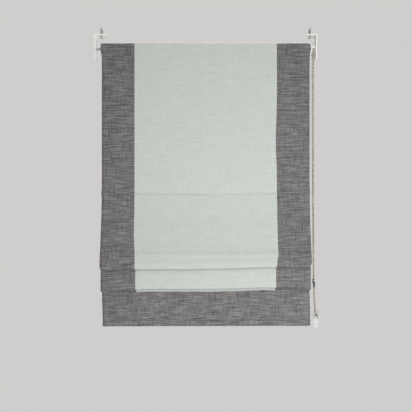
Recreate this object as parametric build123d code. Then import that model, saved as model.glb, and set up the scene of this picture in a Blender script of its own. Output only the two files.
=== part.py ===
from build123d import *
import math
import os

# A chain-operated roman blind, partly raised, hung under a soffit by two end brackets.
# Millimetres. X runs across, -Y faces the room, +Z is up.
# The origin is the centre of the four fixing screws, on the soffit plane.

# Cloth
cloth_width = 610.0
side_border_width = 96.5
bottom_border_height = 101.5
cloth_thickness = 0.8
side_turning_width = 30.0
lining_thickness = 0.5
lining_inset = 18.0
layer_gap = 0.1
body_gap = 0.3

# Distances down the blind, the first from the top edge of the cloth and each other from a level above it
top_rod_drop = 439.0
middle_rod_below_top_rod = 90.0
bottom_rod_below_middle_rod = 16.0
upper_fold_below_middle_rod = 128.0
lower_fold_below_upper_fold = 60.0
hem_below_lower_fold = 111.0
hem_turning_height = 38.0
lining_above_hem_turning = 3.0

# How far each fold stands forward of the flat cloth
upper_fold_depth = 61.5
lower_fold_depth = 33.5
upper_fold_turn = 6.0
lower_fold_turn = 5.0
rod_turn = 2.2
rod_turn_slack = 0.3
lower_fold_foot_width = 1.5
middle_rod_forward = 1.5
bottom_rod_forward = -5.0

# Headrail
headrail_below_soffit = 21.0
headrail_height = 35.0
headrail_depth = 34.0
headrail_wall = 1.5
headrail_lip = 4.0
headrail_corner = 1.0
headrail_past_cloth = 1.0
cloth_below_headrail_top = 4.0
tape_height = 25.0
tape_thickness = 1.2
tape_inset = 3.0
tape_below_cloth_top = 1.0

# End brackets and their screws
bracket_wall = 2.0
bracket_height = 70.0
bracket_front = 34.0
bracket_back = 22.0
bracket_taper = 12.0
bracket_flange = 32.0
bracket_corner = 5.0
bracket_bend = 1.5
bracket_gap = 15.0
screw_inset = 18.0
screw_spacing = 27.0
screw_hole_radius = 2.25
screw_thread_radius = 2.1
screw_shank_radius = 1.6
screw_head_radius = 4.0
screw_head_height = 2.6
screw_head_bevel = 1.0
screw_length = 25.0
screw_tip = 3.5
screw_shank_past_soffit = 0.2
screw_recess_width = 0.9
screw_recess_depth = 1.2
screw_recess_inset = 1.4

# Idle end
cap_flange = 2.0
plug_length = 13.0
plug_wall = 2.0
plug_fit = 0.2
boss_radius = 7.0
idle_pin_radius = 3.0
idle_pin_seat = 6.0
idle_pin_chamfer = 0.5
seat_fit = 0.02
pin_hole_fit = 0.2

# Drive
shaft_across_flats = 6.0
shaft_fit = 0.05
running_fit = 0.04
bead_radius = 2.25
bead_neck_radius = 0.6
bead_pitch = 6.0
beads_round_wheel = 15
bead_sides = 5
groove_clearance = 0.35
pocket_depth = 0.3
wheel_rim_width = 1.2
wheel_rim_height = 0.7
wheel_hub_radius = 7.0
wheel_stub_radius = 4.0
wheel_stub_length = 1.4
wheel_hub_past_plug = 1.0
housing_wall = 3.0
cover_wall = 2.0
housing_bead_gap = 0.7
housing_side_gap = 1.7
cover_peg_radius = 2.5
cover_peg_spacing = 22.0
spring_wire_radius = 0.5
spring_turns = 5
spring_pitch = 1.6
spring_hub_gap = 0.4
spring_inset = 2.0

# Cord spools, cords and rings
cord_radius = 0.7
cord_inset = 90.0
spool_drum_radius = 8.0
spool_drum_length = 30.0
spool_flange_radius = 11.5
spool_flange_width = 1.5
spool_hub_radius = 5.0
cradle_wall = 2.0
cradle_gap = 0.8
cradle_boss_radius = 8.0
cord_turns = 9
ring_hole_radius = 2.0
ring_wire_radius = 0.8
ring_strap_width = 4.0
ring_strap_thickness = 0.8
connector_radius = 2.5
connector_length = 12.0
connector_corner = 0.6
connector_floor = 2.0
cord_end_above_connector_foot = 3.0

# Rods and the hem bar
rod_radius = 2.0
rod_inset = 12.0
pocket_thickness = 0.5
pocket_fit = 0.2
hem_bar_thickness = 3.0
hem_bar_height = 12.0
hem_bar_rise = 1.2
hem_pocket_taper = 4.0
hem_pocket_radius = 2.0
hem_bar_inset = 8.0
hem_bar_fit = 0.1

# Chain, its fittings and its safety clip
chain_bottom_below_soffit = 823.0
chain_bottom_outwards = 9.0
chain_bottom_radius = 5.0
fitting_wall = 0.8
fitting_fit = 0.2
fitting_length = 15.0
connector_below_soffit = 733.0
stop_below_soffit = 724.0
clip_wall = 2.0
clip_width = 14.0
clip_above_chain_bottom = 14.0
clip_below_chain_bottom = 38.0
clip_cheek_height = 22.0
clip_plate_corner = 3.0
clip_cheek_corner = 4.0
clip_post_radius = 2.4
clip_hole_radius = 2.1
clip_hole_above_foot = 9.0

# How far a cutting shape runs past the surface that it cuts
cut_past = 1.0

# Places worked out from the sizes above
half_cloth = cloth_width / 2
half_centre = half_cloth - side_border_width
half_headrail = half_cloth + headrail_past_cloth
cord_positions = {"left": cord_inset - half_cloth, "middle": 0.0, "right": half_cloth - cord_inset}
middle_rod_drop = top_rod_drop + middle_rod_below_top_rod
bottom_rod_drop = middle_rod_drop + bottom_rod_below_middle_rod
upper_fold_drop = middle_rod_drop + upper_fold_below_middle_rod
lower_fold_drop = upper_fold_drop + lower_fold_below_upper_fold
hem_drop = lower_fold_drop + hem_below_lower_fold
headrail_top_z = -headrail_below_soffit
headrail_bottom_z = headrail_top_z - headrail_height
shaft_z = (headrail_top_z + headrail_bottom_z) / 2
cloth_top_z = headrail_top_z - cloth_below_headrail_top
lining_front = 2 * cloth_thickness + layer_gap
lining_back = lining_front + lining_thickness
cloth_front_y = -headrail_depth / 2 - 2 * tape_thickness - lining_back
cap_end_x = half_headrail + cap_flange
bracket_inner_x = cap_end_x + bracket_gap
bracket_outer_x = bracket_inner_x + bracket_wall
screw_x = bracket_outer_x - screw_inset
pocket_inner = rod_radius + pocket_fit
pocket_outer = pocket_inner + pocket_thickness
cord_y = -(spool_drum_radius + shaft_fit + cord_radius)
bead_pitch_radius = bead_pitch * beads_round_wheel / (2 * math.pi)
wheel_outer_radius = bead_pitch_radius + wheel_rim_height
groove_half_width = bead_radius + groove_clearance
wheel_half_width = groove_half_width + wheel_rim_width
wheel_x = cap_end_x + housing_wall + housing_side_gap + wheel_half_width
cover_x = bracket_inner_x - cover_wall
rim_inner_radius = bead_pitch_radius + bead_radius + housing_bead_gap
rim_outer_radius = rim_inner_radius + cover_wall
hex_corner_radius = shaft_across_flats / math.sqrt(3)
chain_bottom_x = wheel_x + chain_bottom_outwards
chain_bottom_z = -chain_bottom_below_soffit


def disc(radius, start, end):
    """A cylinder along X between two X values, centred on the shaft."""
    circle = Plane.YZ.offset(start) * Pos(0, shaft_z) * Circle(radius)
    return extrude(circle, end - start)


def hexagon_bar(across_flats, start, end):
    """A hexagonal bar along X on the shaft's line."""
    hexagon = RegularPolygon(across_flats / 2, 6, major_radius=False)
    return extrude(Plane.YZ.offset(start) * Pos(0, shaft_z) * hexagon, end - start)


def block(x_low, x_high, y_low, y_high, z_low, z_high):
    """A box given by its two corners."""
    centre = Pos((x_low + x_high) / 2, (y_low + y_high) / 2, (z_low + z_high) / 2)
    return centre * Box(x_high - x_low, y_high - y_low, z_high - z_low)


def mirrored(part):
    """The same piece for the other end of the blind."""
    return mirror(part, about=Plane.YZ)


# Sheets of cloth

# Each outline is a list of corners: how far forward of the cloth, how far below its top edge, and a radius.
# The cloth's face lies on the outline. Its lining side is on the left of the way down.
upper_fold_middle = upper_fold_depth - 1.2 * upper_fold_turn
lower_fold_back = lower_fold_depth - 2 * lower_fold_turn - lower_fold_foot_width
rod_turn_half = rod_turn + rod_turn_slack
middle_rod_front = middle_rod_forward + rod_turn_half
middle_rod_back = middle_rod_forward - rod_turn_half
bottom_rod_front = bottom_rod_forward + rod_turn_half
bottom_rod_back = bottom_rod_forward - rod_turn_half
seam_drop = hem_drop - bottom_border_height
lining_end_drop = hem_drop - hem_turning_height - lining_above_hem_turning

# Lengths of the legs that hang from each rod, and of the hem panel
front_leg = upper_fold_drop - top_rod_drop
return_leg = upper_fold_drop - middle_rod_drop
inner_leg = lower_fold_drop - middle_rod_drop
back_leg = lower_fold_drop - bottom_rod_drop
hem_leg = seam_drop - bottom_rod_drop

hanging_corners = [
    (0, top_rod_drop, 0.7 * front_leg),
    (0.2 * upper_fold_depth, top_rod_drop + 0.32 * front_leg, 0.7 * front_leg),
    (0.58 * upper_fold_depth, top_rod_drop + 0.66 * front_leg, 0.55 * front_leg),
    (0.96 * upper_fold_depth, top_rod_drop + 0.92 * front_leg, 0.14 * front_leg),
    (upper_fold_depth, upper_fold_drop, upper_fold_turn),
]
upper_return_corners = [
    (2 * upper_fold_middle - upper_fold_depth, upper_fold_drop, upper_fold_turn),
    (0.5 * upper_fold_depth, upper_fold_drop - 0.39 * return_leg, 0.45 * return_leg),
    (0.14 * upper_fold_depth, middle_rod_drop + 0.15 * return_leg, 0.3 * return_leg),
    (middle_rod_front, middle_rod_drop, rod_turn),
    (middle_rod_back, middle_rod_drop, rod_turn),
]
lower_fold_corners = [
    (middle_rod_front, middle_rod_drop + 0.12 * inner_leg, 0.2 * inner_leg),
    (0.6 * lower_fold_depth, middle_rod_drop + 0.44 * inner_leg, 0.4 * inner_leg),
    (0.97 * lower_fold_depth, middle_rod_drop + 0.74 * inner_leg, 0.4 * inner_leg),
    (lower_fold_depth, lower_fold_drop, lower_fold_turn),
    (lower_fold_back, lower_fold_drop, lower_fold_turn),
    (0.5 * lower_fold_depth, lower_fold_drop - 0.33 * back_leg, 0.45 * back_leg),
    (0.07 * lower_fold_depth, bottom_rod_drop + 0.2 * back_leg, 0.35 * back_leg),
    (bottom_rod_front, bottom_rod_drop, rod_turn),
    (bottom_rod_back, bottom_rod_drop, rod_turn),
    (bottom_rod_back + 0.5, bottom_rod_drop + 0.17 * hem_leg, 0.5 * hem_leg),
    (0.4 * bottom_rod_back, bottom_rod_drop + 0.58 * hem_leg, 0.5 * hem_leg),
    (0, bottom_rod_drop + 0.93 * hem_leg, 0.8 * hem_leg),
]
hanging_start = (0, 0)
hanging_end = (upper_fold_middle, upper_fold_drop)
stack_start = (upper_fold_middle - body_gap, upper_fold_drop)


def to_yz(forward, down):
    """A place on a side view of the blind."""
    return (cloth_front_y - forward, cloth_top_z - down)


def rounded_line(places, radii):
    """Straight lines through the places, with an arc at each inner one."""
    edges = []
    at = places[0]
    for before, corner, after, radius in zip(places, places[1:], places[2:], radii):
        way_in = (corner - before).normalized()
        way_out = (after - corner).normalized()
        half_turn = math.acos(way_in.dot(way_out)) / 2
        reach = radius * math.tan(half_turn)
        arc_start = corner - way_in * reach
        arc_end = corner + way_out * reach
        if (arc_start - at).dot(way_in) < 0:
            raise ValueError(f"a fold's radius of {radius:.1f} is too large for its place at {corner}")
        inwards = (way_out - way_in).normalized()
        arc_middle = corner + inwards * radius * (1 / math.cos(half_turn) - 1)
        edges.append(Line(at, arc_start).edge())
        edges.append(ThreePointArc(arc_start, arc_middle, arc_end).edge())
        at = arc_end
    edges.append(Line(at, places[-1]).edge())
    return Wire(edges)


def offset_line(corners, distance):
    """A rounded outline moved to its left by a distance, with its arcs kept concentric."""
    places = [Vector(*to_yz(forward, down)) for forward, down, radius in corners]
    ways = [(b - a).normalized() for a, b in zip(places, places[1:])]
    normals = [Vector(-way.Y, way.X) for way in ways]
    moved = [places[0] + normals[0] * distance]
    radii = []
    for i in range(1, len(places) - 1):
        before = normals[i - 1]
        after = normals[i]
        moved.append(places[i] + (before + after) * (distance / (1 + before.dot(after))))
        turns_left = before.dot(ways[i]) > 0
        radii.append(corners[i][2] - distance if turns_left else corners[i][2] + distance)
    moved.append(places[-1] + normals[-1] * distance)
    return rounded_line(moved, radii)


def sheet(corners, near, far, x_low, x_high):
    """A sheet of cloth from x_low to x_high, between two distances behind the outline."""
    front = offset_line(corners, near)
    back = offset_line(corners, far)
    ends = [Line(front @ 0, back @ 0).edge(), Line(front @ 1, back @ 1).edge()]
    outline = make_face([*front.edges(), *back.edges(), *ends])
    return extrude(Plane.YZ.offset(x_low) * outline, x_high - x_low)


def along(start, corners, end):
    """A whole outline from its two ends and the corners between them."""
    return [(*start, 0), *corners, (*end, 0)]


def border(corners):
    """The left border: one thickness of cloth, with its outer edge turned to the back."""
    face = sheet(corners, 0, cloth_thickness, -half_cloth, -half_centre)
    turning_end = side_turning_width - half_cloth
    turning = sheet(corners, cloth_thickness, 2 * cloth_thickness, -half_cloth, turning_end)
    return face + turning


def make_upper_cloth(parts):
    corners = along(hanging_start, hanging_corners, hanging_end)
    left = border(corners)
    parts["upper_centre_cloth"] = sheet(corners, 0, cloth_thickness, -half_centre, half_centre)
    parts["upper_left_border"] = left
    parts["upper_right_border"] = mirrored(left)
    lining_half = half_cloth - lining_inset
    parts["upper_lining"] = sheet(corners, lining_front, lining_back, -lining_half, lining_half)
    print(f"upper cloth outline length {offset_line(corners, 0).length:.1f}")


def make_lower_cloth(parts):
    shared = upper_return_corners + lower_fold_corners
    to_seam = along(stack_start, shared, (0, seam_drop))
    left = border(to_seam)
    parts["lower_centre_cloth"] = sheet(to_seam, 0, cloth_thickness, -half_centre, half_centre)
    parts["lower_left_border"] = left
    parts["lower_right_border"] = mirrored(left)
    lining_half = half_cloth - lining_inset
    to_hem = along(stack_start, shared, (0, lining_end_drop))
    parts["lower_lining"] = sheet(to_hem, lining_front, lining_back, -lining_half, lining_half)
    print(f"lower cloth outline length {offset_line(to_seam, 0).length:.1f}")


def make_bottom_border(parts):
    """The bottom border, turned up at the back round the hem bar."""
    pocket_depth = 2 * cloth_thickness + hem_bar_thickness + 2 * hem_bar_fit
    turning_depth = 2 * cloth_thickness + layer_gap / 2
    pocket_foot = hem_drop - cloth_thickness - hem_bar_fit - hem_bar_rise
    pocket_top = pocket_foot - hem_bar_height - hem_bar_fit
    foot_radius = pocket_depth / 2 - layer_gap
    corners = [
        (0, seam_drop, 0),
        (0, hem_drop, foot_radius),
        (-pocket_depth, hem_drop, foot_radius),
        (-pocket_depth, pocket_top, hem_pocket_radius),
        (-turning_depth, pocket_top - hem_pocket_taper, hem_pocket_radius),
        (-turning_depth, hem_drop - hem_turning_height, 0),
    ]
    parts["bottom_border"] = sheet(corners, 0, cloth_thickness, -half_cloth, half_cloth)
    bar_y, bar_z = to_yz(-cloth_thickness - hem_bar_fit, pocket_foot)
    half_bar = half_cloth - hem_bar_inset
    bar = block(-half_bar, half_bar, bar_y, bar_y + hem_bar_thickness, bar_z, bar_z + hem_bar_height)
    parts["hem_bar"] = fillet(bar.edges().filter_by(Axis.X), hem_bar_thickness / 3)


def make_tapes(parts):
    """The hook tape on the headrail and the loop tape on the back of the cloth."""
    top = cloth_top_z - tape_below_cloth_top
    half_tape = half_cloth - tape_inset
    back = -headrail_depth / 2
    for name in ("hook_tape", "loop_tape"):
        parts[name] = block(-half_tape, half_tape, back - tape_thickness, back, top - tape_height, top)
        back -= tape_thickness


# Rods, pockets and rings

def rod_places():
    """Each rod's name, and its centre in Y and Z."""
    behind_cloth = lining_back + body_gap + pocket_outer
    above_turn = lining_back + pocket_outer
    return {
        "top": to_yz(-behind_cloth, top_rod_drop),
        "middle": to_yz(middle_rod_forward, middle_rod_drop - above_turn),
        "bottom": to_yz(bottom_rod_forward, bottom_rod_drop - above_turn),
    }


def rod_tube(place, inner, outer, half_length):
    """A round bar or tube along X."""
    circle = Plane.YZ.offset(-half_length) * Pos(*place) * Circle(outer)
    tube = extrude(circle, 2 * half_length)
    if inner:
        hole = Plane.YZ.offset(-half_length) * Pos(*place) * Circle(inner)
        tube -= extrude(hole, 2 * half_length)
    return tube


def cord_ring(x, place):
    """A ring that a lift cord runs through, on a strap sewn to the rod's pocket."""
    wire_centre = ring_hole_radius + ring_wire_radius
    ring = Pos(x, cord_y, place[1]) * Torus(wire_centre, ring_wire_radius)
    strap_start = place[0] + pocket_outer
    strap_end = cord_y - wire_centre
    strap_middle = Pos(x, (strap_start + strap_end) / 2, place[1])
    strap = strap_middle * Box(ring_strap_width, strap_end - strap_start, ring_strap_thickness)
    return (ring + strap).solid()


def make_rods(parts):
    rod_half = half_cloth - rod_inset
    pocket_half = half_cloth - lining_inset
    for name, place in rod_places().items():
        parts[f"{name}_rod"] = rod_tube(place, 0, rod_radius, rod_half)
        parts[f"{name}_rod_pocket"] = rod_tube(place, pocket_inner, pocket_outer, pocket_half)
        parts[f"{name}_cord_rings"] = [cord_ring(x, place) for x in cord_positions.values()]


def make_cord_connectors(parts):
    """The connectors that lock the three lift cords under the bottom rod's rings."""
    top = rod_places()["bottom"][1] - ring_wire_radius - shaft_fit
    connectors = []
    for x in cord_positions.values():
        body = Pos(x, cord_y, top - connector_length / 2) * Cylinder(connector_radius, connector_length)
        body = fillet(body.edges(), connector_corner)
        bore_depth = connector_length - connector_floor
        bore = Pos(x, cord_y, top) * Cylinder(cord_radius + body_gap, 2 * bore_depth)
        connectors.append(body - bore)
    parts["cord_connectors"] = connectors


# Headrail and its ends

def make_headrail(parts):
    half_depth = headrail_depth / 2
    rail = block(-half_headrail, half_headrail, -half_depth, half_depth, headrail_bottom_z, headrail_top_z)
    rail = fillet(rail.edges().filter_by(Axis.X), headrail_corner)
    inside = half_depth - headrail_wall
    floor_z = headrail_bottom_z + headrail_wall
    rail -= block(-half_headrail, half_headrail, -inside, inside, floor_z, headrail_top_z - headrail_wall)
    mouth = inside - headrail_lip
    cut_low = headrail_bottom_z - cut_past
    rail -= block(-half_headrail, half_headrail, -mouth, mouth, cut_low, floor_z + cut_past)
    parts["headrail"] = rail


def end_plug(wall_end):
    """The right-hand plug of the headrail: a flange, a hollow square sleeve and a round boss in it."""
    half_depth = headrail_depth / 2
    flange = block(half_headrail, wall_end, -half_depth, half_depth, headrail_bottom_z, headrail_top_z)
    flange = fillet(flange.edges().filter_by(Axis.X), headrail_corner)
    side = half_depth - headrail_wall - plug_fit
    low = headrail_bottom_z + headrail_wall + plug_fit
    high = headrail_top_z - headrail_wall - plug_fit
    start = half_headrail - plug_length
    sleeve = block(start, half_headrail, -side, side, low, high)
    inner_side = side - plug_wall
    sleeve -= block(start, half_headrail, -inner_side, inner_side, low + plug_wall, high - plug_wall)
    return flange + sleeve


def make_idle_end(parts):
    plug_start = half_headrail - plug_length
    seat_start = cap_end_x - idle_pin_seat
    plug = end_plug(cap_end_x) + disc(boss_radius, plug_start, half_headrail)
    plug -= disc(idle_pin_radius + seat_fit, seat_start, cap_end_x)
    plug -= disc(hex_corner_radius + running_fit, plug_start, seat_start - cap_flange)
    parts["idle_end_cap"] = mirrored(plug)
    pin = disc(idle_pin_radius, seat_start, bracket_outer_x)
    pin = chamfer(pin.edges().sort_by(Axis.X)[-1], idle_pin_chamfer)
    parts["idle_pin"] = mirrored(pin)


def end_bracket():
    """The right-hand bracket: an upright plate bent over into a flange under the soffit."""
    outline = Polyline(
        (-bracket_front, 0),
        (bracket_back, 0),
        (bracket_back, -bracket_height),
        (bracket_taper - bracket_front, -bracket_height),
        close=True,
    )
    plate = extrude(Plane.YZ.offset(bracket_inner_x) * make_face(outline.edges()), bracket_wall)
    plate = fillet(plate.edges().filter_by(Axis.X).group_by(Axis.Z)[0], bracket_corner)
    flange = block(
        bracket_outer_x - bracket_flange, bracket_outer_x, -bracket_front, bracket_back, -bracket_wall, 0
    )
    flange = fillet(flange.edges().filter_by(Axis.Z).group_by(Axis.X)[0], bracket_corner)
    body = plate + flange
    outer_bend = body.edges().filter_by(Axis.Y).group_by(Axis.X)[-1].sort_by(Axis.Z)[-1]
    body = fillet(outer_bend, bracket_bend)
    for y in (-screw_spacing / 2, screw_spacing / 2):
        body -= Pos(screw_x, y, 0) * Cylinder(screw_hole_radius, 4 * bracket_wall)
    return body


def cover_pegs(grow, start, end):
    """The two round pegs that hold the drive's cover to its bracket."""
    circle = Circle(cover_peg_radius + grow)
    front = Plane.YZ.offset(start) * Pos(-cover_peg_spacing / 2, shaft_z) * circle
    back = Plane.YZ.offset(start) * Pos(cover_peg_spacing / 2, shaft_z) * circle
    return extrude(front, end - start) + extrude(back, end - start)


def make_brackets(parts):
    body = end_bracket()
    cut_start = bracket_inner_x - cut_past
    cut_end = bracket_outer_x + cut_past
    parts["left_end_bracket"] = mirrored(body - disc(idle_pin_radius + pin_hole_fit, cut_start, cut_end))
    parts["right_end_bracket"] = body - cover_pegs(seat_fit, cut_start, cut_end)


def fixing_screw():
    """A pan-head screw that points up, with its flange plane at z = 0 and a cross recess below."""
    under = -bracket_wall
    tip = screw_length - bracket_wall
    profile = Polyline(
        (0, under - screw_head_height),
        (screw_head_radius - screw_head_bevel, under - screw_head_height),
        (screw_head_radius, under - screw_head_height + screw_head_bevel),
        (screw_head_radius, under),
        (screw_shank_radius, under),
        (screw_shank_radius, screw_shank_past_soffit),
        (screw_thread_radius, screw_shank_past_soffit),
        (screw_thread_radius, tip - screw_tip),
        (0, tip),
        close=True,
    )
    screw = revolve(Plane.XZ * make_face(profile.edges()), Axis.Z)
    slot_long = 2 * (screw_head_radius - screw_recess_inset)
    slot = Box(slot_long, screw_recess_width, 2 * screw_recess_depth)
    recess = slot + Rot(0, 0, 90) * slot
    return screw - Pos(0, 0, under - screw_head_height) * recess


def make_screws(parts):
    screw = fixing_screw()
    places = [(x, y) for x in (-screw_x, screw_x) for y in (-screw_spacing / 2, screw_spacing / 2)]
    parts["bracket_screws"] = [Pos(x, y, 0) * screw for x, y in places]


# Drive end, shaft and spools

def make_drive_housing(parts):
    hub_bore = wheel_hub_radius + running_fit
    spring_bore = wheel_hub_radius + spring_hub_gap + 2 * spring_wire_radius + spring_hub_gap
    start = half_headrail - plug_length
    inner_wall = cap_end_x + housing_wall
    plug = end_plug(cap_end_x) + disc(spring_bore + plug_wall, start, half_headrail)
    shell = disc(rim_outer_radius, cap_end_x, inner_wall)
    rim = disc(rim_outer_radius, inner_wall, cover_x) - disc(rim_inner_radius, inner_wall, cover_x)
    rim_top = shaft_z + rim_outer_radius
    rim &= block(inner_wall, cover_x, -rim_outer_radius, rim_outer_radius, shaft_z, rim_top)
    body = plug + shell + rim
    body -= disc(spring_bore, start, half_headrail)
    body -= disc(hub_bore, half_headrail - cut_past, inner_wall + cut_past)
    parts["drive_housing"] = body
    cover = disc(rim_outer_radius, cover_x, bracket_inner_x)
    cover -= disc(wheel_stub_radius + running_fit, cover_x, cover_x + wheel_stub_length + body_gap)
    parts["drive_cover"] = cover + cover_pegs(0, cover_x + cover_wall / 2, bracket_outer_x)


def make_clutch_spring(parts):
    """The wrap spring that grips the wheel's hub and holds the blind at any height."""
    coil_radius = wheel_hub_radius + spring_hub_gap + spring_wire_radius
    coil = Helix(spring_pitch, spring_pitch * spring_turns, coil_radius)
    wire = Plane(origin=coil @ 0, z_dir=coil % 0) * Circle(spring_wire_radius)
    spring = sweep(wire, path=coil, is_frenet=True)
    start = half_headrail - plug_length + spring_inset
    parts["clutch_spring"] = Pos(start, 0, shaft_z) * Rot(0, 90, 0) * spring


def make_chain_wheel(parts):
    """The grooved wheel with a shallow pocket for each bead, and the hexagonal shaft that it turns."""
    hub_start = half_headrail - plug_length - wheel_hub_past_plug
    low = wheel_x - wheel_half_width
    high = wheel_x + wheel_half_width
    wheel = disc(wheel_hub_radius, hub_start, low) + disc(wheel_outer_radius, low, high)
    wheel += disc(wheel_stub_radius, high, cover_x + wheel_stub_length)
    groove_start = wheel_x - groove_half_width
    groove_end = wheel_x + groove_half_width
    groove = disc(wheel_outer_radius + cut_past, groove_start, groove_end)
    wheel -= groove - disc(bead_pitch_radius - groove_half_width, groove_start, groove_end)
    for i in range(beads_round_wheel):
        turn = 2 * math.pi * (i + 0.5) / beads_round_wheel
        place = Pos(bead_pitch_radius * math.cos(turn), shaft_z + bead_pitch_radius * math.sin(turn))
        circle = Plane.YZ.offset(groove_start) * place * Circle(groove_half_width + pocket_depth)
        wheel -= extrude(circle, 2 * groove_half_width)
    wheel -= hexagon_bar(shaft_across_flats + 2 * shaft_fit, hub_start, wheel_x)
    parts["chain_wheel"] = wheel
    shaft_start = -(cap_end_x - idle_pin_seat - cap_flange) + body_gap
    parts["drive_shaft"] = hexagon_bar(shaft_across_flats, shaft_start, wheel_x - body_gap)


def cord_spool(x):
    half = spool_drum_length / 2
    outer = half + spool_flange_width
    spool = disc(spool_drum_radius, x - half, x + half)
    spool += disc(spool_flange_radius, x - outer, x - half) + disc(spool_flange_radius, x + half, x + outer)
    reach = outer + cradle_gap + cradle_wall + cradle_gap
    spool += disc(spool_hub_radius, x - reach, x + reach)
    return spool - hexagon_bar(shaft_across_flats + 2 * shaft_fit, x - reach, x + reach)


def cord_turns_on_drum(x):
    """The cord already wound on the drum, beside the place where it leaves."""
    inner = spool_drum_radius + shaft_fit
    end = x - cord_radius - layer_gap
    points = [(end - cord_turns * 2 * cord_radius, inner), (end, inner)]
    ridge = []
    for i in range(cord_turns):
        ridge.append((end - (2 * i) * cord_radius, inner + cord_radius))
        ridge.append((end - (2 * i + 1) * cord_radius, inner + 2 * cord_radius))
    ridge.append((end - cord_turns * 2 * cord_radius, inner + cord_radius))
    outline = Polyline(*points, *ridge, close=True)
    turns = revolve(Plane.XZ * make_face(outline.edges()), Axis.X)
    return Pos(0, 0, shaft_z) * turns


def spool_cradle(x):
    """The carrier that clips into the headrail and holds a spool between two cheeks."""
    low = headrail_bottom_z + headrail_wall
    half_width = headrail_depth / 2 - headrail_wall - plug_fit / 2
    inner = spool_drum_length / 2 + spool_flange_width + cradle_gap
    outer = inner + cradle_wall
    cradle = block(x - outer, x + outer, -half_width, half_width, low, low + cradle_wall)
    for x_low, x_high in ((x - outer, x - inner), (x + inner, x + outer)):
        cradle += disc(cradle_boss_radius, x_low, x_high)
        cradle += block(x_low, x_high, -cradle_boss_radius, cradle_boss_radius, low, shaft_z)
    cradle -= disc(spool_hub_radius + running_fit, x - outer - cut_past, x + outer + cut_past)
    return cradle - Pos(x, cord_y, low) * Cylinder(2 * cord_radius, 4 * cradle_wall)


def lift_cord(x):
    """A lift cord, from the front of its drum straight down to the bottom rod."""
    bottom = rod_places()["bottom"][1] - ring_wire_radius - connector_length + cord_end_above_connector_foot
    return Pos(x, cord_y, (shaft_z + bottom) / 2) * Cylinder(cord_radius, shaft_z - bottom)


def make_spools(parts):
    for side, x in cord_positions.items():
        parts[f"{side}_cord_spool"] = cord_spool(x)
        parts[f"{side}_cord_turns"] = cord_turns_on_drum(x)
        parts[f"{side}_spool_cradle"] = spool_cradle(x)
        parts[f"{side}_lift_cord"] = lift_cord(x)


# Bead chain

def strand_place(share, side):
    """A place on a hanging strand, at a share of the way down. side is -1 in front and 1 behind."""
    # The strand leans outwards little by little, and bends most just above its foot
    slow_share = 0.4
    drift = slow_share * share**3 + (1 - slow_share) * share**24
    x = wheel_x + (chain_bottom_x - wheel_x) * drift
    y = side * (bead_pitch_radius + (chain_bottom_radius - bead_pitch_radius) * share)
    return Vector(x, y, shaft_z + (chain_bottom_z - shaft_z) * share)


def arc_places(x, z, radius, first, last, steps):
    """Places on an arc round the X direction. Zero degrees is the front and 90 is the top."""
    angles = [math.radians(first + (last - first) * i / steps) for i in range(steps + 1)]
    return [Vector(x, -radius * math.cos(a), z + radius * math.sin(a)) for a in angles]


def chain_line():
    """Closely spaced places once round the chain's loop, from the back of the wheel over its top."""
    strand_steps = 400
    wheel_steps = 60
    post_steps = 40
    over_wheel = arc_places(wheel_x, shaft_z, bead_pitch_radius, 180, 0, wheel_steps)
    front = [strand_place(i / strand_steps, -1) for i in range(1, strand_steps)]
    round_post = arc_places(chain_bottom_x, chain_bottom_z, chain_bottom_radius, 0, -180, post_steps)
    back = [strand_place(1 - i / strand_steps, 1) for i in range(1, strand_steps + 1)]
    return over_wheel + front + round_post + back


def spaced_places(line, pitch):
    """Places along a line at nearly the given pitch, closing evenly, each with its direction."""
    lengths = [0.0]
    for a, b in zip(line, line[1:]):
        lengths.append(lengths[-1] + (b - a).length)
    count = round(lengths[-1] / pitch)
    found = []
    i = 0
    for n in range(count):
        target = (n + 0.5) * lengths[-1] / count
        while lengths[i + 1] < target:
            i += 1
        share = (target - lengths[i]) / (lengths[i + 1] - lengths[i])
        step = line[i + 1] - line[i]
        found.append((line[i] + step * share, step.normalized()))
    return found


def bead_with_necks():
    """One ball of the chain with half a link at each end, faceted."""
    half_flat = 0.15 * bead_pitch
    half_length = 0.47 * bead_pitch
    stations = (
        (bead_neck_radius, -half_length),
        (bead_radius, -half_flat),
        (bead_radius, half_flat),
        (bead_neck_radius, half_length),
    )
    turns = [2 * math.pi * i / bead_sides for i in range(bead_sides)]
    rings = [[Vector(r * math.cos(a), r * math.sin(a), z) for a in turns] for r, z in stations]
    faces = [Face(Wire.make_polygon(rings[0])), Face(Wire.make_polygon(rings[-1]))]
    for low, high in zip(rings, rings[1:]):
        for i in range(bead_sides):
            j = (i + 1) % bead_sides
            faces.append(Face(Wire.make_polygon([low[i], low[j], high[j], high[i]])))
    return Solid(Shell(faces))


def make_chain(parts):
    bead = bead_with_necks()
    beads = []
    for place, way in spaced_places(chain_line(), bead_pitch):
        beads.append(Plane(origin=place, x_dir=(1, 0, 0), z_dir=way).location * bead)
    parts["bead_chain"] = beads
    print(f"{len(beads)} beads")
    fittings = (
        ("chain_connector", connector_below_soffit, -1),
        ("chain_stop", stop_below_soffit, 1),
    )
    for name, below, side in fittings:
        share = (-below - shaft_z) / (chain_bottom_z - shaft_z)
        place = strand_place(share, side)
        way = (strand_place(share + 0.001, side) - place).normalized()
        bore = bead_radius + fitting_fit
        sleeve = Cylinder(bore + fitting_wall, fitting_length) - Cylinder(bore, fitting_length)
        parts[name] = Plane(origin=place, x_dir=(1, 0, 0), z_dir=way).location * sleeve


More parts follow.
